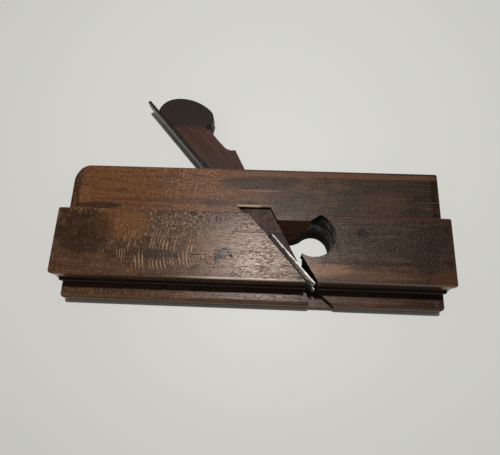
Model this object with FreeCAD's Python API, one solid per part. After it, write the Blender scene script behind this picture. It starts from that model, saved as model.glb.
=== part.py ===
import FreeCAD, Part
import math
import os

# A wooden moulding plane with a side escapement, lying on its left side.
# Millimetres. +X runs from the heel to the toe, +Y from the sole to the top of the grip,
# +Z from the left side, which is z = 0, to the right side, where the shavings leave.
# The origin is on the left side, at the middle of the length, level with the lip of the sole.

os.makedirs("parts", exist_ok=True)
Vec = FreeCAD.Vector

# Stock
LENGTH = 241.3              # nine and a half inches, heel to toe
THICKNESS = 31.8            # one and a quarter inches, left side to right side
GRIP_THICKNESS = 19.0       # the grip is rebated on the right side
TOP_Y = 77.0                # top of the grip
SHOULDER_Y = 41.9           # shoulder below the grip, on the right side
LIP_WIDTH = 14.7            # flat lip of the sole, from the right side
RIB_WIDTH = 10.5            # fence rib of the sole, from the left side
RIB_DEPTH = 11.45           # how far the rib hangs below the lip
RIB_ROUND = 2.8             # worn edge along the right side of the rib
HALF = LENGTH / 2
LIP_Z = THICKNESS - LIP_WIDTH

# Boxing slip between the lip and the rib
SLIP_DROP = 1.6             # stands proud of the lip
SLIP_BED = 4.0              # let into the stock above the lip

# Bed, iron and wedge, seen from the right side
BED_PITCH = math.radians(49.3)
BED_X = 33.0                # where the bed meets the lip
ABUTMENT_PITCH = math.radians(62.1)
UPPER_PITCH = math.radians(57.4)
ABUTMENT_X, ABUTMENT_Y = 10.9, 51.4     # where the abutment changes pitch
OPENING_Y = 50.5            # lower edge of the right cheek of the mortise
MORTISE_LOW = 4.8           # left and right cheeks of the mortise
MORTISE_HIGH = 15.4

# Eye, the round opening that the shavings leave by
EYE_RIGHT = (37.6, 28.9)
EYE_RIGHT_R = 13.6
EYE_LEFT = (39.6, 24.8)
EYE_LEFT_R = 10.8
OPENING_END_LOW = 37.1      # where the opening above the eye ends, at the grip
OPENING_END_HIGH = 41.9     # and on the right side
TAIL_Y = 29.3
TAIL_LEAN = 0.34

# Mouth: the front wall leans forward and runs slightly askew to the left side
WALL_PITCH = math.radians(59.4)
WALL_TOP = (30.25, 16.75)   # cusp between the eye and the front wall, right side
WALL_SKEW = 2.2 / THICKNESS
CUSP_DROP = 1.7 / THICKNESS

# Iron, measured along the bed from the lip and square to it
BED_GAP = 0.1
IRON_EDGE_T = 3.95          # thickness at the cutting edge
IRON_TOP_T = 1.9            # thickness at the top of the tang
TANG_TOP = 172.3
TANG_SHOULDER = 34.0
STEEL_T = 1.1               # steel laid on the front of the iron
STEEL_TOP = 46.0
BEVEL = math.radians(28)
CUT_PROUD = 0.35            # the edge stands below the sole
BLADE_LOW = 5.1
BLADE_HIGH = 30.8
TANG_HIGH = 15.0

# Wedge
WEDGE_LOW = 4.95
WEDGE_HIGH = 15.25
WEDGE_GAP = 0.12
WEDGE_TIP_Y = 8.0
WEDGE_THIN_Y = 34.15         # the lower end is thinned on the right side
WEDGE_THIN = 0.7
FINIAL_ROUND = 1.1


def bed_x(y):
    return BED_X - y / math.tan(BED_PITCH)


def abutment_x(y):
    return ABUTMENT_X + (ABUTMENT_Y - y) / math.tan(ABUTMENT_PITCH)


def upper_x(y):
    return ABUTMENT_X - (y - ABUTMENT_Y) / math.tan(UPPER_PITCH)


def wall_x(y, z):
    shift = (THICKNESS - z) * WALL_SKEW
    return WALL_TOP[0] + shift + (WALL_TOP[1] - y) / math.tan(WALL_PITCH)


def cusp(z):
    """The ridge between the front wall and the eye, at height z."""
    y = WALL_TOP[1] - CUSP_DROP * (THICKNESS - z)
    return wall_x(y, z), y


def wire(points, z):
    corners = [Vec(x, y, z) for x, y in points]
    return Part.makePolygon(corners + corners[:1])


def prism(points, low, high):
    return Part.Face(wire(points, low)).extrude(Vec(0, 0, high - low))


def rounded_prism(x0, x1, y0, y1, low, high, radii):
    """A block with its four upright corners rounded: heel-sole, toe-sole, toe-top, heel-top."""
    block = Part.makeBox(x1 - x0, y1 - y0, high - low, Vec(x0, y0, low))
    corners = [(x0, y0), (x1, y0), (x1, y1), (x0, y1)]
    for (x, y), radius in zip(corners, radii):
        upright = [e for e in block.Edges
                   if e.BoundBox.ZLength > high - low - 0.01
                   and abs(e.CenterOfMass.x - x) < 0.01 and abs(e.CenterOfMass.y - y) < 0.01]
        block = block.makeFillet(radius, upright)
    return block


def side_section(points):
    """A section across the stock, given as y and z, run along the whole length."""
    corners = [Vec(-HALF - 5, y, z) for y, z in points]
    face = Part.Face(Part.makePolygon(corners + corners[:1]))
    return face.extrude(Vec(LENGTH + 10, 0, 0))


def round_long_edges(shape, places, radius):
    """Rounds the edges that run along X through the given (y, z) places."""
    chosen = []
    for edge in shape.Edges:
        box = edge.BoundBox
        if box.XLength < LENGTH / 2:
            continue
        for y, z in places:
            if abs(box.Center.y - y) < 0.01 and abs(box.Center.z - z) < 0.01:
                chosen.append(edge)
    return shape.makeFillet(radius, chosen)


def main_slab():
    """The grip, the left side and the fence rib."""
    section = side_section([
        (-RIB_DEPTH, 0), (TOP_Y, 0), (TOP_Y, GRIP_THICKNESS), (0, GRIP_THICKNESS),
        (0, LIP_Z), (SLIP_BED, LIP_Z), (SLIP_BED, RIB_WIDTH), (-RIB_DEPTH, RIB_WIDTH)])
    section = round_long_edges(section, [(-RIB_DEPTH, RIB_WIDTH)], RIB_ROUND)
    section = round_long_edges(section, [(TOP_Y, GRIP_THICKNESS), (TOP_Y, 0), (-RIB_DEPTH, 0)], 0.9)
    outline = rounded_prism(-HALF, HALF, -RIB_DEPTH, TOP_Y, -1, THICKNESS, (2.2, 2.2, 1.6, 11.8))
    return section.common(outline)


def side_block():
    """The thick lower part on the right side, from the lip of the sole to the shoulder."""
    section = side_section([
        (0, LIP_Z), (SHOULDER_Y, LIP_Z), (SHOULDER_Y, THICKNESS), (0, THICKNESS)])
    section = round_long_edges(section, [(0, THICKNESS), (SHOULDER_Y, THICKNESS)], 0.8)
    outline = rounded_prism(-HALF, HALF, 0, SHOULDER_Y, 0, THICKNESS + 1, (2.2, 1.6, 1.3, 1.3))
    return section.common(outline)


def grip_end_bevel(end, width, depth):
    """A shallow bevel down one end of the grip; end is -1 for the heel and 1 for the toe."""
    inner = Vec(end * (HALF - width), SHOULDER_Y, GRIP_THICKNESS)
    outer = Vec(end * (HALF + width), SHOULDER_Y, GRIP_THICKNESS)
    lower = Vec(end * (HALF + width), SHOULDER_Y, GRIP_THICKNESS - 2 * depth)
    face = Part.Face(Part.makePolygon([inner, outer, lower, inner]))
    return face.extrude(Vec(0, TOP_Y, 0))


def mortise():
    """The slot for the wedge and the tang, from the throat out through the top."""
    low, high = 16.0, TOP_Y + 2
    outline = [(bed_x(low), low), (bed_x(high), high), (upper_x(high), high),
               (ABUTMENT_X, ABUTMENT_Y), (abutment_x(low), low)]
    return prism(outline, MORTISE_LOW, MORTISE_HIGH)


def throat():
    """The space for the blade, from the left wall of the mortise out through the right side."""
    low, high = -SLIP_DROP - 2, 19.0
    wires = []
    for z in (MORTISE_LOW, THICKNESS + 1):
        outline = [(bed_x(low), low), (bed_x(high), high), (abutment_x(high), high),
                   cusp(z), (wall_x(low, z), low)]
        wires.append(wire(outline, z))
    return Part.makeLoft(wires, True, True)


def right_opening():
    """Uncovers the wedge and the tang on the right side, below the right cheek."""
    low = 16.0
    over_wedge = [(bed_x(low), low), (bed_x(OPENING_Y), OPENING_Y),
                  (abutment_x(OPENING_Y), OPENING_Y), (abutment_x(low), low)]
    wedge_side = prism(over_wedge, MORTISE_HIGH - 0.1, THICKNESS + 1)
    over_eye = []
    for z, corner in ((GRIP_THICKNESS, OPENING_END_LOW), (THICKNESS, OPENING_END_HIGH)):
        outline = [(bed_x(low), low), (bed_x(SHOULDER_Y + 2), SHOULDER_Y + 2),
                   (corner, SHOULDER_Y + 2), (corner, SHOULDER_Y), EYE_RIGHT, WALL_TOP]
        over_eye.append(wire(outline, z))
    eye_side = Part.makeLoft(over_eye, True, True)
    return wedge_side.fuse(eye_side).fuse(cheek_chamfer())


def cheek_chamfer():
    """The worn lower edge of the right cheek, above the wedge."""
    left = bed_x(OPENING_Y)
    corners = [Vec(left, OPENING_Y - 0.2, GRIP_THICKNESS - 0.9),
               Vec(left, OPENING_Y + 1.3, GRIP_THICKNESS + 0.1),
               Vec(left, OPENING_Y - 0.2, GRIP_THICKNESS + 0.1)]
    face = Part.Face(Part.makePolygon(corners + corners[:1]))
    return face.extrude(Vec(abutment_x(OPENING_Y) - left, 0, 0))


def eye_ring(z):
    """Centre and radius of the eye at height z."""
    part = z / THICKNESS
    x = EYE_LEFT[0] + (EYE_RIGHT[0] - EYE_LEFT[0]) * part
    y = EYE_LEFT[1] + (EYE_RIGHT[1] - EYE_LEFT[1]) * part
    return Vec(x, y, z), EYE_LEFT_R + (EYE_RIGHT_R - EYE_LEFT_R) * part


def eye():
    """A round hole, a little smaller and lower on the left side, with a tail to the wedge."""
    rings = [Part.Wire(Part.makeCircle(radius, centre))
             for centre, radius in (eye_ring(-1.0), eye_ring(THICKNESS + 1.0))]
    cone = Part.makeLoft(rings, True, True)
    tails = [eye_tail(-1.0), eye_tail(GRIP_THICKNESS + 1.0)]
    return cone.fuse(Part.makeLoft(tails, True, True))


def eye_tail(z):
    """Outline of the tail of the eye at height z; its upper side leans as the eye does."""
    centre, radius = eye_ring(z)
    top = TAIL_Y + TAIL_LEAN * z
    start = Vec(abutment_x(top), top, z)
    rise = centre + Vec(-0.7, 0.7, 0) * radius
    bend = Vec((start.x + rise.x) / 2, (start.y + rise.y) / 2 - 0.5, z)
    ridge = Vec(*cusp(z), z)
    foot = Vec(abutment_x(ridge.y), ridge.y, z)
    return Part.Wire([
        Part.Arc(start, bend, rise).toShape(), Part.makeLine(rise, centre),
        Part.makeLine(centre, ridge), Part.makeLine(ridge, foot), Part.makeLine(foot, start)])


def ramp():
    """The steep ramp that leads from the grip down into the throat."""
    top_y, low_y, slope = 41.9, 30.0, 1.28
    low_z = GRIP_THICKNESS - slope * (top_y - low_y)
    left = abutment_x(top_y) - 0.5
    corners = [Vec(left, top_y, GRIP_THICKNESS), Vec(left, top_y, GRIP_THICKNESS + 1),
               Vec(left, low_y, GRIP_THICKNESS + 1), Vec(left, low_y, low_z)]
    face = Part.Face(Part.makePolygon(corners + corners[:1]))
    return face.extrude(Vec(OPENING_END_LOW - left, 0, 0))


def rib_notch():
    """The part of the mouth that is let into the fence rib, beside the blade."""
    outline = [(bed_x(0.5), 0.5), (BED_X + 2.4, -3.5), (BED_X + 4.1, -RIB_DEPTH - 1),
               (BED_X + 21.6, -RIB_DEPTH - 1), (BED_X + 11.6, -4.0),
               (wall_x(0.5, RIB_WIDTH), 0.5)]
    return prism(outline, MORTISE_LOW, RIB_WIDTH + 0.2)


def make_stock():
    stock = main_slab().fuse(side_block())
    stock = stock.cut(grip_end_bevel(-1, 5.0, 0.9))
    stock = stock.cut(grip_end_bevel(1, 5.5, 0.7))
    for tool in (mortise(), throat(), right_opening(), eye(), ramp(), rib_notch()):
        stock = stock.cut(tool)
    return stock.removeSplitter()


def make_slip(side):
    """A boxing slip in its groove; side is -1 behind the mouth and 1 in front of it."""
    low, high = -SLIP_DROP, SLIP_BED
    bar = rounded_prism(-HALF, HALF, low, 30, RIB_WIDTH, LIP_Z, (1.2, 1.2, 1.0, 1.0))
    if side < 0:
        keep = [(-HALF - 1, low - 1), (bed_x(low - 1), low - 1), (bed_x(high), high), (-HALF - 1, high)]
    else:
        start = wall_x(low, RIB_WIDTH)
        keep = [(start, low - 1), (HALF + 1, low - 1), (HALF + 1, high), (start - 3.0, high)]
    bar = bar.common(prism(keep, RIB_WIDTH, LIP_Z))
    shape = bar.cut(throat())
    proud = [e for e in shape.Edges if e.BoundBox.XLength > 40
             and abs(e.BoundBox.Center.y - low) < 0.01 and abs(e.BoundBox.Center.z - LIP_Z) < 0.01]
    return shape.makeFillet(0.5, proud)


def on_iron(shape):
    """Takes a shape from the iron's own axes, x down the bed and y square to it."""
    shape.rotate(Vec(0, 0, 0), Vec(0, 0, 1), -math.degrees(BED_PITCH))
    shape.translate(Vec(BED_X, 0, 0))
    return shape


def front_y(x):
    """Height of the iron's front face above the bed, at x along the bed."""
    return IRON_EDGE_T + (IRON_TOP_T - IRON_EDGE_T) * (-x / TANG_TOP)


def iron_side(edge_y, low, high, layer):
    """The iron's side view, run across from low to high, with its cutting edge at edge_y."""
    sin, cos = math.sin(BED_PITCH), math.cos(BED_PITCH)
    edge = (IRON_EDGE_T * cos - edge_y) / sin
    tip = front_y(edge)
    run = 1 / math.tan(BEVEL)
    if layer == "steel":
        top = -STEEL_TOP
        outline = [(edge, tip), (edge - STEEL_T * run, tip - STEEL_T),
                   (top, front_y(top) - STEEL_T), (top, front_y(top))]
    else:
        top, cut = -TANG_TOP, -STEEL_TOP
        outline = [(edge - STEEL_T * run, tip - STEEL_T),
                   (edge - (tip - BED_GAP) * run, BED_GAP), (top, BED_GAP), (top, front_y(top)),
                   (cut, front_y(cut)), (cut, front_y(cut) - STEEL_T)]
    return prism(outline, low, high)


def iron_plan():
    """The iron seen square to the bed: a narrow tang, one shoulder and the full-width blade."""
    def at(x, z):
        return Vec(x, -1, z)
    tip_low, tip_high = BLADE_LOW + 1.0, TANG_HIGH - 0.5
    tip_mid = (tip_low + tip_high) / 2
    end, shoulder, foot = -TANG_TOP + 0.8, -TANG_SHOULDER, 12.0
    sides = [
        Part.makeLine(at(foot, BLADE_LOW), at(-TANG_TOP / 3, BLADE_LOW)),
        Part.makeLine(at(-TANG_TOP / 3, BLADE_LOW), at(end, tip_low)),
        Part.Arc(at(end, tip_low), at(-TANG_TOP, tip_mid), at(end, tip_high)).toShape(),
        Part.makeLine(at(end, tip_high), at(shoulder - 14, TANG_HIGH)),
        Part.Arc(at(shoulder - 14, TANG_HIGH), at(shoulder - 6.5, TANG_HIGH + 2.2),
                 at(shoulder - 3.4, TANG_HIGH + 8)).toShape(),
        Part.makeLine(at(shoulder - 3.4, TANG_HIGH + 8), at(shoulder - 2.2, BLADE_HIGH - 1.5)),
        Part.Arc(at(shoulder - 2.2, BLADE_HIGH - 1.5), at(shoulder - 1.5, BLADE_HIGH - 0.4),
                 at(shoulder, BLADE_HIGH)).toShape(),
        Part.makeLine(at(shoulder, BLADE_HIGH), at(foot, BLADE_HIGH)),
        Part.makeLine(at(foot, BLADE_HIGH), at(foot, BLADE_LOW))]
    return Part.Face(Part.Wire(sides)).extrude(Vec(0, 8, 0))


def make_iron(layer):
    lip_edge = -CUT_PROUD
    slip_edge = -SLIP_DROP - CUT_PROUD
    shape = iron_side(lip_edge, LIP_Z, BLADE_HIGH, layer)
    shape = shape.fuse(iron_side(slip_edge, BLADE_LOW, LIP_Z, layer)).removeSplitter()
    return on_iron(shape.common(iron_plan()))


def wedge_outline():
    """The wedge from the side: its blade, the neck, and the round finial with a notch under it."""
    foot = iron_front(WEDGE_TIP_Y)
    grip_top = TOP_Y + 2.3
    crest = Vec(-13.9, 92.8, 0)
    notch = Vec(-34.2, 111.5, 0)
    nose = Vec(-31.8, 113.0, 0)
    head = Vec(*iron_front(123.4), 0)
    sides = [
        Part.makeLine(Vec(*foot, 0), Vec(abutment_x(WEDGE_TIP_Y) - 0.2, WEDGE_TIP_Y, 0)),
        Part.makeLine(Vec(abutment_x(WEDGE_TIP_Y) - 0.2, WEDGE_TIP_Y, 0),
                      Vec(ABUTMENT_X - 0.2, ABUTMENT_Y, 0)),
        Part.makeLine(Vec(ABUTMENT_X - 0.2, ABUTMENT_Y, 0), Vec(upper_x(grip_top) - 0.2, grip_top, 0)),
        Part.makeLine(Vec(upper_x(grip_top) - 0.2, grip_top, 0), crest),
        Part.makeLine(crest, Vec(-16.7, 92.6, 0)),
        Part.Arc(Vec(-16.7, 92.6, 0), Vec(-20.1, 93.8, 0), Vec(-22.8, 96.4, 0)).toShape(),
        Part.Arc(Vec(-22.8, 96.4, 0), Vec(-28.9, 103.3, 0), notch).toShape(),
        Part.makeLine(notch, nose)]
    finial = Part.BSplineCurve()
    finial.interpolate([nose, Vec(-31.4, 116.1, 0), Vec(-30.9, 119.5, 0), Vec(-32.1, 122.6, 0),
                        Vec(-34.7, 125.4, 0), Vec(-38.9, 128.5, 0), Vec(-47.7, 132.4, 0),
                        Vec(-55.9, 133.4, 0), Vec(-63.5, 131.7, 0), Vec(-68.5, 127.4, 0), head])
    sides.append(finial.toShape())
    sides.append(Part.makeLine(head, Vec(*foot, 0)))
    return Part.Wire(sides)


def iron_front(y):
    """The place at height y on a line that just clears the iron's front face."""
    sin, cos = math.sin(BED_PITCH), math.cos(BED_PITCH)
    slope = (IRON_EDGE_T - IRON_TOP_T) / TANG_TOP
    base = IRON_EDGE_T + WEDGE_GAP
    x = (base * cos - y) / (sin - slope * cos)
    offset = base + slope * x
    return BED_X + x * cos + offset * sin, y


def make_wedge():
    face = Part.Face(wedge_outline())
    face.translate(Vec(0, 0, WEDGE_LOW))
    wedge = face.extrude(Vec(0, 0, WEDGE_HIGH - WEDGE_LOW))
    thin = Part.makeBox(60, WEDGE_THIN_Y, 5, Vec(0, 0, WEDGE_HIGH - WEDGE_THIN))
    wedge = wedge.cut(thin)
    around_finial = []
    for edge in wedge.Edges:
        flat = edge.BoundBox.ZLength < 0.01
        if flat and edge.Curve.TypeId.endswith("BSplineCurve"):
            around_finial.append(edge)
    return wedge.makeFillet(FINIAL_ROUND, around_finial)


make_stock().exportStep("parts/stock.step")
make_slip(-1).exportStep("parts/boxing_slip_heel.step")
make_slip(1).exportStep("parts/boxing_slip_toe.step")
make_iron("body").exportStep("parts/iron_body.step")
make_iron("steel").exportStep("parts/iron_steel_face.step")
make_wedge().exportStep("parts/wedge.step")
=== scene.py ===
import math
from types import SimpleNamespace

import bpy
from mathutils import Euler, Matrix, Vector


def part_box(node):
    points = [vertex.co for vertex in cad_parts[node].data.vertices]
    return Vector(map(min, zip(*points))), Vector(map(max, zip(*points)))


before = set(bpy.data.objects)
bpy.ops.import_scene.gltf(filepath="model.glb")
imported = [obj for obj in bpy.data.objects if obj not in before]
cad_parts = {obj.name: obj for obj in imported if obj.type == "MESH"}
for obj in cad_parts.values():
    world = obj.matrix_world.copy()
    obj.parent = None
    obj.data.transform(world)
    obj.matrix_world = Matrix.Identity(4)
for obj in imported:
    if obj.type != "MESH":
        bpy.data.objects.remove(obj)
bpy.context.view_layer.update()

# Millimetres, in the part's own frame.
BED_PITCH = math.radians(49.3)
MOUTH_X = 33.0              # where the bed meets the lip
IRON_EDGE_T = 3.95          # thickness at the cutting edge
IRON_TAPER = 2.05 / 172.3   # thickness lost for each millimetre up the iron
FLECK_CENTRE = (-17.0, 16.0)
FLECK_LEAN = (0.86, 0.5)    # cosine and sine of the lean of the grip's flecks
GROOVE_REACH = 4.0          # how far a wall darkens the corner beside it

# Metres.
CAMERA_PLACE = (0.00647, -0.04179, 0.27243)
CAMERA_TURN = (17.146, 1.104, 2.248)
CAMERA_LENS_MM = 29.80
FLOOR_HALF = 3.0
FLOOR_DROP = 0.0001         # keeps the floor clear of the face that lies on it
LAMP_AIM = (0.0065, 0.0177, 0.0318)
LAMP_SIDE = (0, 0.208, 0.978)
LAMP_DISTANCE = 0.9


class Tree:
    """Short calls that build one material's nodes. Lengths inside the tree are millimetres."""

    def __init__(self, name):
        self.material = bpy.data.materials.new(name)
        self.material.use_nodes = True
        self.nodes = self.material.node_tree.nodes
        self.links = self.material.node_tree.links
        self.shader = self.nodes["Principled BSDF"]
        place = self.nodes.new("ShaderNodeTexCoord").outputs["Object"]
        self.mm = self.vector("MULTIPLY", place, (1000, 1000, 1000))
        self.x, self.y, self.z = self.split(self.mm)

    def set(self, socket, value):
        if isinstance(value, bpy.types.NodeSocket):
            self.links.new(value, socket)
        else:
            socket.default_value = value

    def node(self, kind, inputs, output=0, **settings):
        made = self.nodes.new(kind)
        for key, value in settings.items():
            setattr(made, key, value)
        for key, value in inputs.items():
            self.set(made.inputs[key], value)
        return made.outputs[output]

    def math(self, operation, a, b=0.0, clamp=False):
        return self.node("ShaderNodeMath", {0: a, 1: b}, operation=operation, use_clamp=clamp)

    def vector(self, operation, a, b=(0, 0, 0), output=0):
        return self.node("ShaderNodeVectorMath", {0: a, 1: b}, output, operation=operation)

    def split(self, vector):
        made = self.nodes.new("ShaderNodeSeparateXYZ")
        self.links.new(vector, made.inputs[0])
        return made.outputs[0], made.outputs[1], made.outputs[2]

    def join(self, x, y, z):
        return self.node("ShaderNodeCombineXYZ", {0: x, 1: y, 2: z})

    def noise(self, vector, stretch=(1, 1, 1), detail=2.0, rough=0.5, seed=0.0):
        """Noise from 0 to 1; stretch is its frequency per millimetre along each axis."""
        at = self.vector("MULTIPLY", vector, stretch)
        at = self.vector("ADD", at, (seed, seed * 0.7, seed * 1.3))
        inputs = {"Vector": at, "Scale": 1.0, "Detail": detail, "Roughness": rough}
        return self.node("ShaderNodeTexNoise", inputs)

    def step(self, value, low, high, to_low=0.0, to_high=1.0):
        """A soft step of value from low to high."""
        return self.node("ShaderNodeMapRange", {0: value, 1: low, 2: high, 3: to_low, 4: to_high},
                         interpolation_type="SMOOTHSTEP")

    def mix(self, a, b, factor):
        """Colour a where factor is 0, colour b where it is 1."""
        made = self.nodes.new("ShaderNodeMix")
        made.data_type = "RGBA"
        self.set(made.inputs[0], factor)
        self.set(made.inputs[6], a)
        self.set(made.inputs[7], b)
        return made.outputs[2]

    def contrast(self, tone, middle, power):
        """Darkens what is darker than the middle brightness and lightens what is lighter."""
        bright = self.node("ShaderNodeRGBToBW", {0: tone})
        factor = self.math("POWER", self.math("DIVIDE", bright, middle), power)
        return self.vector("MULTIPLY", tone, self.join(factor, factor, factor))

    def times(self, *values):
        total = values[0]
        for value in values[1:]:
            total = self.math("MULTIPLY", total, value)
        return total

    def plus(self, *values):
        total = values[0]
        for value in values[1:]:
            total = self.math("ADD", total, value)
        return total

    def patch(self, place, centre, size, wobble=0.35, edge=0.5):
        """A soft-edged oval patch seen from the side, 1 inside and 0 outside."""
        cx, cy = centre
        rx, ry = size
        away = self.vector("SUBTRACT", place, (cx, cy, 0))
        away = self.vector("MULTIPLY", away, (1.0 / rx, 1.0 / ry, 0))
        far = self.vector("LENGTH", away, output=1)
        ragged = self.noise(self.mm, (1.6 / rx, 1.6 / ry, 0.05), 3, 0.6, seed=cx * 0.37 + cy)
        far = self.plus(far, self.math("MULTIPLY", self.math("SUBTRACT", ragged, 0.5), 2 * wobble))
        return self.step(far, 1.0 + edge / 2, 1.0 - edge / 2)

    def scratches(self, angle, length, spacing, seed):
        """Thin broken lines on the side faces, at angle degrees from the length."""
        sin, cos = math.sin(math.radians(angle)), math.cos(math.radians(angle))
        along = self.plus(self.times(self.x, cos), self.times(self.y, sin))
        across = self.plus(self.times(self.y, cos), self.times(self.x, -sin))
        place = self.join(along, across, self.z)
        field = self.noise(place, (1 / length, 1 / spacing, 0.02), 1.0, 0.5, seed)
        line = self.step(self.math("ABSOLUTE", self.math("SUBTRACT", field, 0.5)), 0.022, 0.006)
        broken = self.noise(place, (0.9 / length, 0.35 / spacing, 0.02), 1.0, 0.5, seed + 50)
        return self.times(line, self.step(broken, 0.56, 0.64))

    def pits(self, cell, radius, empty, seed):
        """Small round dents, one to a cell of the given millimetres; the share empty has none."""
        at = self.vector("ADD", self.mm, (seed * 3.1, seed * 1.7, seed))
        made = self.nodes.new("ShaderNodeTexVoronoi")
        self.links.new(at, made.inputs["Vector"])
        made.inputs["Scale"].default_value = 1 / cell
        chance = self.split(made.outputs["Color"])[0]
        near = self.step(made.outputs["Distance"], radius / cell, 0.4 * radius / cell)
        return self.times(near, self.step(chance, empty, empty + 0.02))

    def openness(self):
        """1 on open faces, less in corners and grooves of the same piece."""
        inputs = {"Distance": GROOVE_REACH / 1000}
        return self.node("ShaderNodeAmbientOcclusion", inputs, 1, samples=6, only_local=True)

    def bump(self, height, strength, distance_mm):
        inputs = {"Height": height, "Strength": strength, "Distance": distance_mm / 1000}
        return self.node("ShaderNodeBump", inputs)

    def finish(self, **inputs):
        for key, value in inputs.items():
            self.set(self.shader.inputs[key.replace("_", " ")], value)
        return self.material


def rgb(r, g, b):
    """A linear colour from ordinary 0-255 screen values."""
    def line(c):
        c /= 255
        return c / 12.92 if c <= 0.04045 else ((c + 0.055) / 1.055) ** 2.4
    return line(r), line(g), line(b), 1.0


def year_rings(t, pith, width):
    """0 to 1 through each year's growth, round a pith that runs along the length."""
    drift = t.noise(t.mm, (0.012, 0.03, 0.03), 2, 0.5, 0.0)
    drift = t.times(t.math("SUBTRACT", drift, 0.5), 14.0)
    rise = t.math("SUBTRACT", t.y, pith[0])
    run = t.math("SUBTRACT", t.z, pith[1])
    radius = t.math("SQRT", t.plus(t.times(rise, rise), t.times(run, run)))
    return t.math("FRACT", t.math("DIVIDE", t.plus(radius, drift), width))


def wood_figure(t, grain, seed):
    """Fields that every wooden piece is coloured by: fibres, streaks and pores.

    grain holds millimetres along the fibres, then the two directions across them.
    """
    fibre = t.noise(grain, (0.04, 1.1, 1.1), 4, 0.65, seed + 3)
    streak = t.noise(grain, (0.010, 0.16, 0.16), 3, 0.55, seed + 9)
    pores = t.noise(grain, (0.3, 3.4, 3.4), 2, 0.6, seed + 5)
    return fibre, streak, pores


def rounded_edge(t):
    """1 on rounded edges, 0 on faces square to an axis; and the normal's sizes along y and z."""
    normal = t.node("ShaderNodeNewGeometry", {}, 1)
    parts = [t.math("ABSOLUTE", part) for part in t.split(normal)]
    most = t.math("MAXIMUM", parts[0], t.math("MAXIMUM", parts[1], parts[2]))
    return t.step(most, 0.99, 0.93), parts[1], parts[2]


def stock_fields(t):
    """The masks and noises that the layers of the stock's colour share."""
    f = SimpleNamespace()
    f.rings = year_rings(t, (24, -95), 2.3)
    f.fibre, f.streak, f.pores = wood_figure(t, t.mm, 0.0)
    f.rounded, f.side_y, f.side_z = rounded_edge(t)
    f.right = t.step(t.z, 12.0, 15.0)
    wander = t.noise(t.mm, (0.05, 0.05, 0.05), 2, 0.5, 21)
    f.wander = t.times(t.math("SUBTRACT", wander, 0.5), 9.0)
    f.blotch = t.noise(t.mm, (0.035, 0.07, 0.05), 4, 0.6, 41)
    f.grit = t.noise(t.mm, (1.5, 2.1, 1.8), 4, 0.7, 33)
    f.toe = t.step(t.plus(t.x, t.times(f.wander, 3.0)), -25.0, 60.0)
    f.grip = t.step(t.y, 41.0, 43.0)
    f.block = t.math("SUBTRACT", 1.0, f.grip)
    f.heel = t.step(t.x, 10.0, -40.0)
    return f


def stock_ground(t, f):
    """Tone along the length: orange brown at the heel of the grip, dark and dull at the toe."""
    low = t.step(t.plus(t.y, t.times(f.wander, 0.6)), 17.0, 6.0)
    tone = t.mix(rgb(66, 46, 33), rgb(84, 60, 45), t.step(f.streak, 0.35, 0.65))
    tone = t.mix(tone, rgb(105, 63, 33), t.times(f.grip, t.math("SUBTRACT", 1.0, f.toe), 0.9))
    tone = t.mix(tone, rgb(88, 60, 43), t.times(low, 0.5))
    toe_side = t.times(f.toe, t.math("SUBTRACT", 0.9, t.times(low, 0.5)))
    tone = t.mix(tone, rgb(66, 52, 44), t.times(toe_side, f.block))
    tone = t.mix(tone, rgb(52, 39, 32), t.times(toe_side, f.grip))
    tone = t.mix(tone, rgb(34, 24, 18), t.times(t.step(f.blotch, 0.54, 0.70), 0.55))
    tone = t.mix(tone, rgb(108, 76, 52), t.times(t.step(f.blotch, 0.46, 0.3), 0.45))
    far_toe = t.step(t.plus(t.x, f.wander), 78.0, 112.0)
    tone = t.mix(tone, rgb(42, 32, 26), t.times(far_toe, 0.75))
    grip_ends = t.plus(t.step(t.x, -113.5, -116.5), t.step(t.x, 113.0, 116.0))
    tone = t.mix(tone, rgb(36, 24, 17), t.times(f.grip, grip_ends, 0.75))
    return tone


def stock_grain(t, f, tone):
    """Year rings, dark bands, fibres, grit and pores."""
    late = t.step(f.rings, 0.5, 1.0)
    tone = t.mix(tone, rgb(38, 26, 19), t.times(late, 0.3))
    bands = t.step(t.noise(t.mm, (0.012, 0.55, 0.3), 3, 0.6, 71), 0.52, 0.66)
    tone = t.mix(tone, rgb(32, 22, 17), t.times(bands, t.plus(t.times(f.toe, 0.35), 0.15)))
    tone = t.mix(tone, rgb(122, 90, 66), t.times(t.step(f.fibre, 0.53, 0.75), 0.45))
    tone = t.mix(tone, rgb(28, 18, 13), t.times(t.step(f.fibre, 0.46, 0.28), 0.55))
    tone = t.mix(tone, rgb(20, 12, 9), t.times(t.step(f.grit, 0.53, 0.66), 0.6))
    tone = t.mix(tone, rgb(134, 102, 78), t.times(t.step(f.grit, 0.45, 0.30), 0.4))
    return t.mix(tone, rgb(20, 13, 10), t.times(t.step(f.pores, 0.57, 0.70), 0.45))


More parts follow.
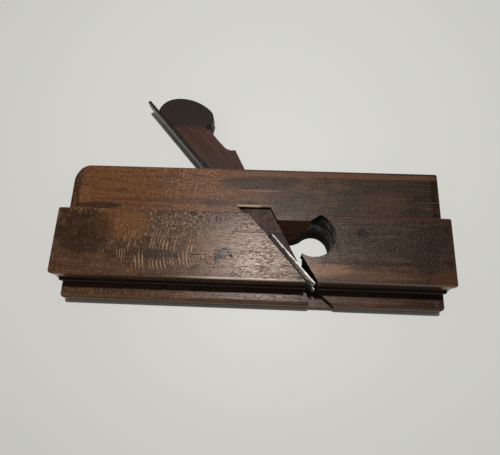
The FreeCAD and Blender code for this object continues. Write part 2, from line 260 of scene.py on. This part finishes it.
def stock_flecks(t, f, tone):
    """Ray flecks: along arcs round a centre on the side face, and leaning on the grip."""
    dx = t.math("SUBTRACT", t.x, FLECK_CENTRE[0])
    dy = t.math("SUBTRACT", t.y, FLECK_CENTRE[1])
    far = t.math("SQRT", t.plus(t.times(dx, dx), t.times(dy, dy, 1.2)))
    turn = t.math("ARCTAN2", dy, dx)
    polar = t.join(t.plus(far, t.times(f.wander, 0.5)), turn, t.z)
    f.short = t.noise(polar, (1.25, 19.0, 0.25), 1.0, 0.5, 4)
    tiny = t.noise(polar, (2.2, 34.0, 0.5), 0.0, 0.5, 14)
    cos, sin = FLECK_LEAN
    forward = t.plus(t.times(t.x, cos), t.times(t.y, sin))
    upward = t.plus(t.times(t.y, cos), t.times(t.x, -sin))
    dashes = t.noise(t.join(forward, upward, t.z), (0.6, 2.3, 0.3), 1.0, 0.5, 62)
    high = t.step(t.plus(t.y, t.times(f.wander, 1.2)), 14.0, 30.0)
    amount = t.times(f.block, t.plus(t.times(f.heel, high, 0.65), t.times(f.heel, 0.12), 0.05))
    flecks = t.times(t.step(f.short, 0.58, 0.66), amount)
    fine_flecks = t.times(t.step(tiny, 0.60, 0.70), t.plus(t.times(f.heel, 0.5), 0.12))
    dashes = t.times(t.step(dashes, 0.59, 0.65), f.grip, t.plus(t.times(f.heel, 0.75), 0.12))
    spread = t.noise(polar, (0.09, 0.5, 0.01), 1.0, 0.5, 8)
    phase = t.math("FRACT", t.plus(t.times(far, 0.5), t.times(spread, 3.0)))
    crest = t.step(t.math("ABSOLUTE", t.math("SUBTRACT", phase, 0.5)), 0.17, 0.06)
    crest = t.times(crest, t.step(t.noise(polar, (0.16, 2.4, 0.05), 2.0, 0.6, 77), 0.47, 0.60))
    arcs = t.times(crest, t.patch(t.mm, (-54, 17), (34, 12), 0.2), f.right)
    fleck_tone = t.mix(rgb(150, 108, 70), rgb(172, 140, 114), t.step(t.x, -85.0, -30.0))
    tone = t.mix(tone, fleck_tone, t.math("MULTIPLY", flecks, 0.75, clamp=True))
    tone = t.mix(tone, fleck_tone, t.math("MULTIPLY", fine_flecks, 0.5, clamp=True))
    tone = t.mix(tone, fleck_tone, t.times(dashes, 0.5))
    return t.mix(tone, rgb(190, 154, 122), t.times(arcs, 0.55))


# Stains on the right side and one painted highlight of the lamp's glare, listed one by one: name,
# middle as a part of the half length (+ towards the toe) and of the height above the lip, half width
# and half height in mm, colour, strength.
STOCK_MARKS = {
    "amber patch at the heel": ((-0.67, 0.43), (17, 11), rgb(124, 80, 40), 0.4),
    "dark heel end": ((-0.86, 0.35), (19, 13), rgb(38, 27, 20), 0.6),
    "grey streak in the arcs": ((-0.46, 0.19), (13, 2.6), rgb(52, 43, 37), 0.6),
    "dirt over the heel shoulder": ((-0.84, 0.63), (15, 2.4), rgb(38, 30, 25), 0.7),
    "dirt along the shoulder": ((-0.33, 0.69), (60, 2.0), rgb(46, 32, 25), 0.35),
    "dirt behind the wedge": ((-0.2, 0.675), (9, 2.4), rgb(36, 28, 24), 0.5),
    "purple patch on the grip": ((0.03, 0.87), (26, 4.5), rgb(40, 31, 29), 0.6),
    "long scratch on the grip": ((0.04, 0.80), (15, 0.3), rgb(150, 124, 106), 0.5),
    "knot": ((0.555, 0.395), (3.4, 3.2), rgb(22, 20, 17), 0.85),
    # Painted highlight: the lamp's glare on the middle of the side, painted as a paler patch.
    "painted glare on the middle": ((0.0, 0.22), (34, 20), rgb(130, 92, 66), 0.4),
    "stain behind the blade": ((-0.14, 0.21), (5.5, 3.2), rgb(52, 42, 36), 0.6),
    "its dark core": ((-0.165, 0.17), (2.0, 2.6), rgb(24, 19, 16), 0.75),
    "its dark tip": ((-0.115, 0.235), (2.6, 1.4), rgb(24, 19, 16), 0.75),
    "bruise under the shoulder": ((-0.3, 0.52), (2.0, 1.3), rgb(16, 10, 9), 0.9),
    "first dent": ((-0.26, 0.495), (1.0, 1.0), rgb(6, 4, 4), 0.95),
    "second dent": ((-0.22, 0.465), (0.6, 1.5), rgb(8, 6, 5), 0.95),
    "third dent": ((-0.18, 0.48), (0.7, 2.4), rgb(8, 6, 5), 0.95),
    "pale toe edge": ((0.54, 0.065), (36, 3.0), rgb(120, 82, 56), 0.22),
    "pale patch before the mouth": ((0.38, 0.1), (14, 3.4), rgb(140, 98, 68), 0.5),
    "dark line over it": ((0.65, 0.16), (26, 1.6), rgb(42, 31, 25), 0.5),
    "red toe corner": ((0.96, 0.05), (10, 6), rgb(84, 50, 34), 0.6),
    "worn top of the grip": ((0.41, 0.96), (90, 1.9), rgb(112, 72, 50), 0.55),
    "worn toe half of the grip": ((0.71, 0.715), (14, 8), rgb(86, 60, 42), 0.3),
    "red toe shoulder": ((0.7, 0.53), (40, 1.2), rgb(78, 42, 30), 0.55),
    "pale rib at the toe": ((0.7, -0.09), (50, 4.5), rgb(112, 82, 58), 0.45),
    "pale rib at the heel": ((-0.76, -0.09), (36, 4.5), rgb(86, 58, 40), 0.4),
    "dark toe end": ((0.8, 0.31), (22, 9), rgb(52, 41, 35), 0.35),
}


def stock_stains_and_glare(t, f, tone):
    """Stains and rubbed places on the right side and a painted highlight of the lamp's glare, then
    scratches and pits.
    """
    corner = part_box("stock")[1]
    half_length, height_over_lip = 1000 * corner[0], 1000 * corner[1]
    for (along, up), size, colour, strength in STOCK_MARKS.values():
        centre = (along * half_length, up * height_over_lip)
        tone = t.mix(tone, colour, t.times(t.patch(t.mm, centre, size), f.right, strength))
    busy = t.plus(t.patch(t.mm, (5, 18), (50, 24), 0.3, 1.0), 0.25)
    scratches = t.plus(t.scratches(4, 18.0, 1.1, 3.0), t.scratches(38, 9.0, 2.6, 5.0),
                       t.scratches(-57, 8.0, 2.9, 8.0))
    f.scratches = t.math("MULTIPLY", scratches, busy, clamp=True)
    f.pits = t.plus(t.pits(3.1, 0.42, 0.75, 1.0), t.pits(7.5, 0.8, 0.7, 6.0))
    tone = t.mix(tone, rgb(20, 13, 10), t.times(f.scratches, 0.65))
    tone = t.mix(tone, rgb(16, 11, 9), t.math("MULTIPLY", f.pits, 0.7, clamp=True))
    return t.contrast(tone, 0.055, 0.16)


def stock_wear_and_light(t, f, tone):
    """Pale rubbed edges, painted highlights on the lip edge and cheek edge, and painted shade on the
    ramp.
    """
    # Pale worn lip edge with a painted highlight of the lamp on its rounding, strongest in the middle
    # of the length.
    along_lip = t.step(t.math("ABSOLUTE", t.plus(t.x, t.times(f.wander, 2.0), 3.0)), 48.0, 12.0)
    along_lip = t.plus(t.times(along_lip, 0.7), t.times(t.step(t.x, 26.0, 48.0), 0.06))
    lip_edge_wear_and_highlight = t.times(t.step(t.y, 1.3, 0.9), t.step(t.z, 30.9, 31.3), along_lip)
    tone = t.mix(tone, rgb(240, 224, 204), lip_edge_wear_and_highlight)
    rubbed = t.times(f.rounded, t.step(f.fibre, 0.38, 0.6))
    tone = t.mix(tone, rgb(116, 88, 66), t.times(rubbed, 0.4))
    # Worn cheek edge over the opening with a painted highlight: its chamfer faces away from the lamp,
    # so the light on it is painted pale.
    cheek_edge_wear_and_highlight = t.times(t.step(f.side_y, 0.25, 0.4), t.step(f.side_y, 0.93, 0.85),
                         t.step(t.y, 50.0, 50.2), t.step(t.y, 52.2, 51.9), t.step(t.z, 17.6, 17.9))
    tone = t.mix(tone, rgb(206, 178, 152), t.times(cheek_edge_wear_and_highlight, t.step(t.x, 22.0, -2.0, 0.5, 0.95)))
    # Painted shade: the ramp down into the throat faces away from the lamp and is painted darker here.
    # Known fault: nothing limits this mask below in z or above in y, so it also darkens the
    # left face from the throat up to the top of the grip.
    ramp = t.times(t.step(t.z, 18.95, 18.6), t.step(t.x, 4.0, 6.0), t.step(t.x, 41.0, 40.0),
                   t.step(t.y, 28.0, 30.0), t.step(f.side_z, 0.4, 0.6))
    return t.mix(tone, rgb(44, 24, 14), t.times(ramp, 0.7))


def stock_grime_and_shade(t, f, tone):
    """Dark grime on the walls of the mouth and the eye with painted shade and light on them, and
    painted shade in corners.
    """
    inside = t.times(t.step(f.side_z, 0.6, 0.4), t.step(t.x, 56.0, 54.0), t.step(t.x, -47.0, -45.0),
                     t.step(t.y, 0.6, 1.4))
    eye_top = t.patch(t.mm, (38.5, 42), (5, 3), 0.0)
    f.inside = t.times(inside, t.math("MAXIMUM", t.step(t.y, 41.6, 41.3), eye_top))
    # Painted light and shade on the walls: lighter grey towards the right face, black towards the left
    # face, near black low down on the mouth's walls and in the corner under the eye's top.
    wall_mottle = t.step(t.noise(t.mm, (0.12, 0.12, 0.2), 3, 0.6, 91), 0.40, 0.58)
    wall_grime_and_shade = t.mix(rgb(56, 55, 52), rgb(146, 143, 136), t.times(wall_mottle, t.step(t.z, 9.0, 17.0)))
    wall_grime_and_shade = t.mix(wall_grime_and_shade, rgb(5, 4, 4), t.step(t.plus(t.z, t.times(f.wander, 0.5)), 13.0, 7.0))
    wall_grime_and_shade = t.mix(wall_grime_and_shade, rgb(14, 11, 9), t.step(t.y, 18.5, 16.0))
    wall_grime_and_shade = t.mix(wall_grime_and_shade, rgb(12, 10, 9), t.patch(t.mm, (39.5, 42), (4.5, 2.6), 0.05, 0.5))
    tone = t.mix(tone, wall_grime_and_shade, t.times(f.inside, 0.92))
    # Painted shade: corners and grooves darkened to near black by ambient occlusion.
    return t.mix(tone, rgb(10, 6, 4), t.step(t.openness(), 0.8, 0.35, 0.0, 0.92))


def stock_material():
    t = Tree("stock_beech")
    f = stock_fields(t)
    tone = stock_ground(t, f)
    for layer in (stock_grain, stock_flecks, stock_stains_and_glare, stock_wear_and_light, stock_grime_and_shade):
        tone = layer(t, f, tone)
    height = t.plus(t.times(f.fibre, 0.3), t.times(f.grit, 0.6), t.times(f.short, 0.3),
                    t.times(t.step(f.pores, 0.5, 0.75), -0.4), t.times(f.scratches, -1.2),
                    t.times(f.pits, -2.0), t.times(f.streak, 0.6))
    gloss = t.plus(t.times(f.fibre, 0.10), t.times(f.blotch, 0.10), t.times(f.inside, 0.5),
                   t.times(f.grip, 0.08), 0.13)
    shine = t.step(f.inside, 0.2, 0.8, 0.17, 0.05)
    return t.finish(Base_Color=tone, Roughness=gloss, Specular_IOR_Level=shine,
                    Specular_Tint=(1.0, 0.91, 0.84, 1.0), Normal=t.bump(height, 0.55, 0.12))


def wedge_material():
    t = Tree("wedge_beech")
    from_bed, along = iron_axes(t)
    fibre, streak, pores = wood_figure(t, t.join(along, from_bed, t.z), 31.0)
    grit = t.noise(t.mm, (1.1, 1.1, 1.1), 4, 0.7, 35)
    head = t.step(t.plus(t.y, t.times(streak, 8.0)), 112.5, 116.0)
    low = t.step(t.y, 98.0, 84.0)
    inner = t.step(t.y, 60.0, 50.0)
    tone = t.mix(rgb(66, 40, 31), rgb(84, 54, 41), t.step(streak, 0.35, 0.65))
    tone = t.mix(tone, rgb(64, 47, 41), t.times(low, 0.6))
    smudge = t.noise(t.mm, (0.22, 0.22, 0.22), 4, 0.65, 15)
    handled = t.mix(rgb(52, 34, 25), rgb(82, 58, 43), t.step(smudge, 0.38, 0.62))
    tone = t.mix(tone, handled, t.times(inner, 0.95))
    tone = t.mix(tone, rgb(45, 36, 33), t.times(head, 0.95))
    tone = t.mix(tone, rgb(34, 23, 18), t.times(t.step(fibre, 0.46, 0.25), 0.55))
    tone = t.mix(tone, rgb(104, 76, 58), t.times(t.step(fibre, 0.55, 0.8), 0.4))
    tone = t.mix(tone, rgb(24, 15, 11), t.times(t.step(grit, 0.53, 0.68), 0.5))
    pale_grit = t.times(t.step(grit, 0.44, 0.30), t.plus(t.times(inner, 0.4), 0.2))
    tone = t.mix(tone, rgb(116, 88, 70), pale_grit)
    tone = t.mix(tone, rgb(20, 13, 10), t.times(t.step(pores, 0.57, 0.70), 0.5))
    tone = t.mix(tone, rgb(46, 31, 24), t.times(t.step(t.y, 34.4, 33.9), 0.7))
    # Painted shade in the hollow under the finial's nose.
    nose_underside_shade = t.times(t.patch(t.mm, (-33.6, 110.4), (1.9, 2.3), 0.2), t.step(t.z, 12.0, 14.0))
    tone = t.mix(tone, rgb(14, 11, 10), nose_underside_shade)
    pits = t.pits(4.0, 0.5, 0.7, 3.0)
    tone = t.mix(tone, rgb(20, 13, 10), t.math("MULTIPLY", pits, 0.5, clamp=True))
    tone = t.contrast(tone, 0.05, 0.2)
    # Painted shade: corners and grooves darkened by ambient occlusion.
    open_air = t.openness()
    tone = t.mix(tone, rgb(10, 6, 5), t.step(open_air, 0.75, 0.3, 0.0, 0.9))
    height = t.plus(fibre, t.times(grit, 0.8), t.times(pits, -1.5))
    gloss = t.plus(t.times(fibre, 0.2), 0.42)
    return t.finish(Base_Color=tone, Roughness=gloss, Specular_IOR_Level=0.14,
                    Normal=t.bump(height, 0.4, 0.15))


def boxing_material():
    t = Tree("boxing")
    fibre, streak = wood_figure(t, t.mm, 57.0)[:2]
    tone = t.mix(rgb(44, 34, 29), rgb(70, 56, 47), t.step(fibre, 0.35, 0.65))
    tone = t.mix(tone, rgb(26, 19, 16), t.times(t.step(streak, 0.5, 0.65), 0.5))
    return t.finish(Base_Color=tone, Roughness=0.42, Specular_IOR_Level=0.35,
                    Normal=t.bump(fibre, 0.3, 0.15))


def iron_axes(t):
    """Millimetres square to the bed, and along it from the mouth."""
    sin, cos = math.sin(BED_PITCH), math.cos(BED_PITCH)
    from_bed = t.plus(t.times(t.x, sin), t.times(t.y, cos), -MOUTH_X * sin)
    along = t.plus(t.times(t.x, cos), t.times(t.y, -sin), -MOUTH_X * cos)
    return from_bed, along


def iron_material():
    t = Tree("wrought_iron")
    from_bed = iron_axes(t)[0]
    scale = t.noise(t.mm, (0.25, 0.25, 0.25), 5, 0.65, 11)
    fine = t.noise(t.mm, (1.5, 1.5, 1.5), 3, 0.6, 13)
    normal = t.node("ShaderNodeNewGeometry", {}, 1)
    side = t.step(t.math("ABSOLUTE", t.split(normal)[2]), 0.5, 0.8)
    tone = t.mix(rgb(96, 96, 92), rgb(132, 132, 126), t.step(scale, 0.35, 0.65))
    tone = t.mix(tone, rgb(58, 40, 28), t.times(t.step(fine, 0.5, 0.7), 0.45))
    dark_side = t.mix(rgb(26, 24, 20), rgb(44, 40, 34), t.step(scale, 0.35, 0.65))
    rusty = t.times(t.step(t.y, 52.0, 50.0), t.step(t.y, 34.0, 37.0))
    dark_side = t.mix(dark_side, rgb(54, 38, 29), rusty)
    low = t.step(t.plus(t.y, t.times(scale, 10.0)), 21.0, 9.0)
    scraped = t.times(t.step(fine, 0.42, 0.6), t.step(from_bed, 0.7, 1.8))
    bare = t.mix(rgb(30, 22, 17), rgb(150, 142, 132), scraped)
    dark_side = t.mix(dark_side, bare, low)
    tone = t.mix(tone, dark_side, side)
    shine = t.times(t.plus(t.times(t.math("SUBTRACT", 1.0, side), 0.75), t.times(low, 0.3)), 0.9)
    rough = t.plus(t.step(fine, 0.3, 0.7, 0.38, 0.6), t.times(side, 0.1))
    return t.finish(Base_Color=tone, Metallic=shine, Roughness=rough, Specular_IOR_Level=0.15,
                    Normal=t.bump(scale, 0.4, 0.25))


def steel_material():
    t = Tree("cutting_steel")
    from_bed, along = iron_axes(t)
    front = t.plus(t.times(along, IRON_TAPER), IRON_EDGE_T)
    depth = t.math("SUBTRACT", front, from_bed)
    scale = t.noise(t.mm, (0.5, 0.5, 0.5), 4, 0.6, 17)
    tone = t.mix(rgb(104, 98, 90), rgb(62, 57, 51), t.step(scale, 0.35, 0.6))
    low = t.step(t.plus(t.y, t.times(scale, 10.0)), 26.0, 9.0)
    tone = t.mix(tone, rgb(168, 162, 152), t.times(low, 0.7))
    # The front arris: worn bright steel with a painted highlight of the lamp on it.
    tone = t.mix(tone, rgb(222, 218, 210), t.times(t.step(depth, 0.42, 0.15), t.step(scale, 0.3, 0.5)))
    rough = t.step(scale, 0.3, 0.7, 0.42, 0.6)
    return t.finish(Base_Color=tone, Metallic=0.5, Roughness=rough, Normal=t.bump(scale, 0.3, 0.1))


def paint():
    made = {"stock": stock_material(), "wedge": wedge_material(), "iron_body": iron_material(),
            "iron_steel_face": steel_material()}
    slip = boxing_material()
    made["boxing_slip_heel"] = slip
    made["boxing_slip_toe"] = slip
    for name, material in made.items():
        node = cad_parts[name]
        for slot in node.material_slots:
            slot.material = material


def make_camera():
    data = bpy.data.cameras.new("camera")
    data.lens = CAMERA_LENS_MM
    data.sensor_width = 36.0
    data.clip_start = 0.01
    camera = bpy.data.objects.new("camera", data)
    camera.location = CAMERA_PLACE
    camera.rotation_euler = Euler([math.radians(a) for a in CAMERA_TURN], "XYZ")
    bpy.context.scene.collection.objects.link(camera)
    bpy.context.scene.camera = camera


def make_floor():
    half, down = FLOOR_HALF, -FLOOR_DROP
    mesh = bpy.data.meshes.new("floor")
    corners = [(-half, -half, down), (half, -half, down), (half, half, down), (-half, half, down)]
    mesh.from_pydata(corners, [], [(0, 1, 2, 3)])
    floor = bpy.data.objects.new("floor", mesh)
    bpy.context.scene.collection.objects.link(floor)
    t = Tree("floor")
    mesh.materials.append(t.finish(Base_Color=(0.79, 0.785, 0.745, 1), Roughness=0.5))


def make_lights():
    towards = Vector(LAMP_SIDE).normalized()
    lamp = bpy.data.lights.new("ceiling_lamp", "AREA")
    lamp.shape = "DISK"
    lamp.size = 0.045
    lamp.energy = 6.0
    lit = bpy.data.objects.new("ceiling_lamp", lamp)
    lit.location = Vector(LAMP_AIM) + towards * LAMP_DISTANCE
    lit.rotation_euler = towards.to_track_quat("Z", "Y").to_euler()
    bpy.context.scene.collection.objects.link(lit)
    world = bpy.data.worlds.new("room")
    world.use_nodes = True
    sky = world.node_tree.nodes["Background"].inputs
    sky["Color"].default_value = (1.0, 0.99, 0.97, 1)
    sky["Strength"].default_value = 0.13
    bpy.context.scene.world = world
    bpy.context.scene.view_settings.view_transform = "Standard"


make_camera()
make_lights()
make_floor()
paint()
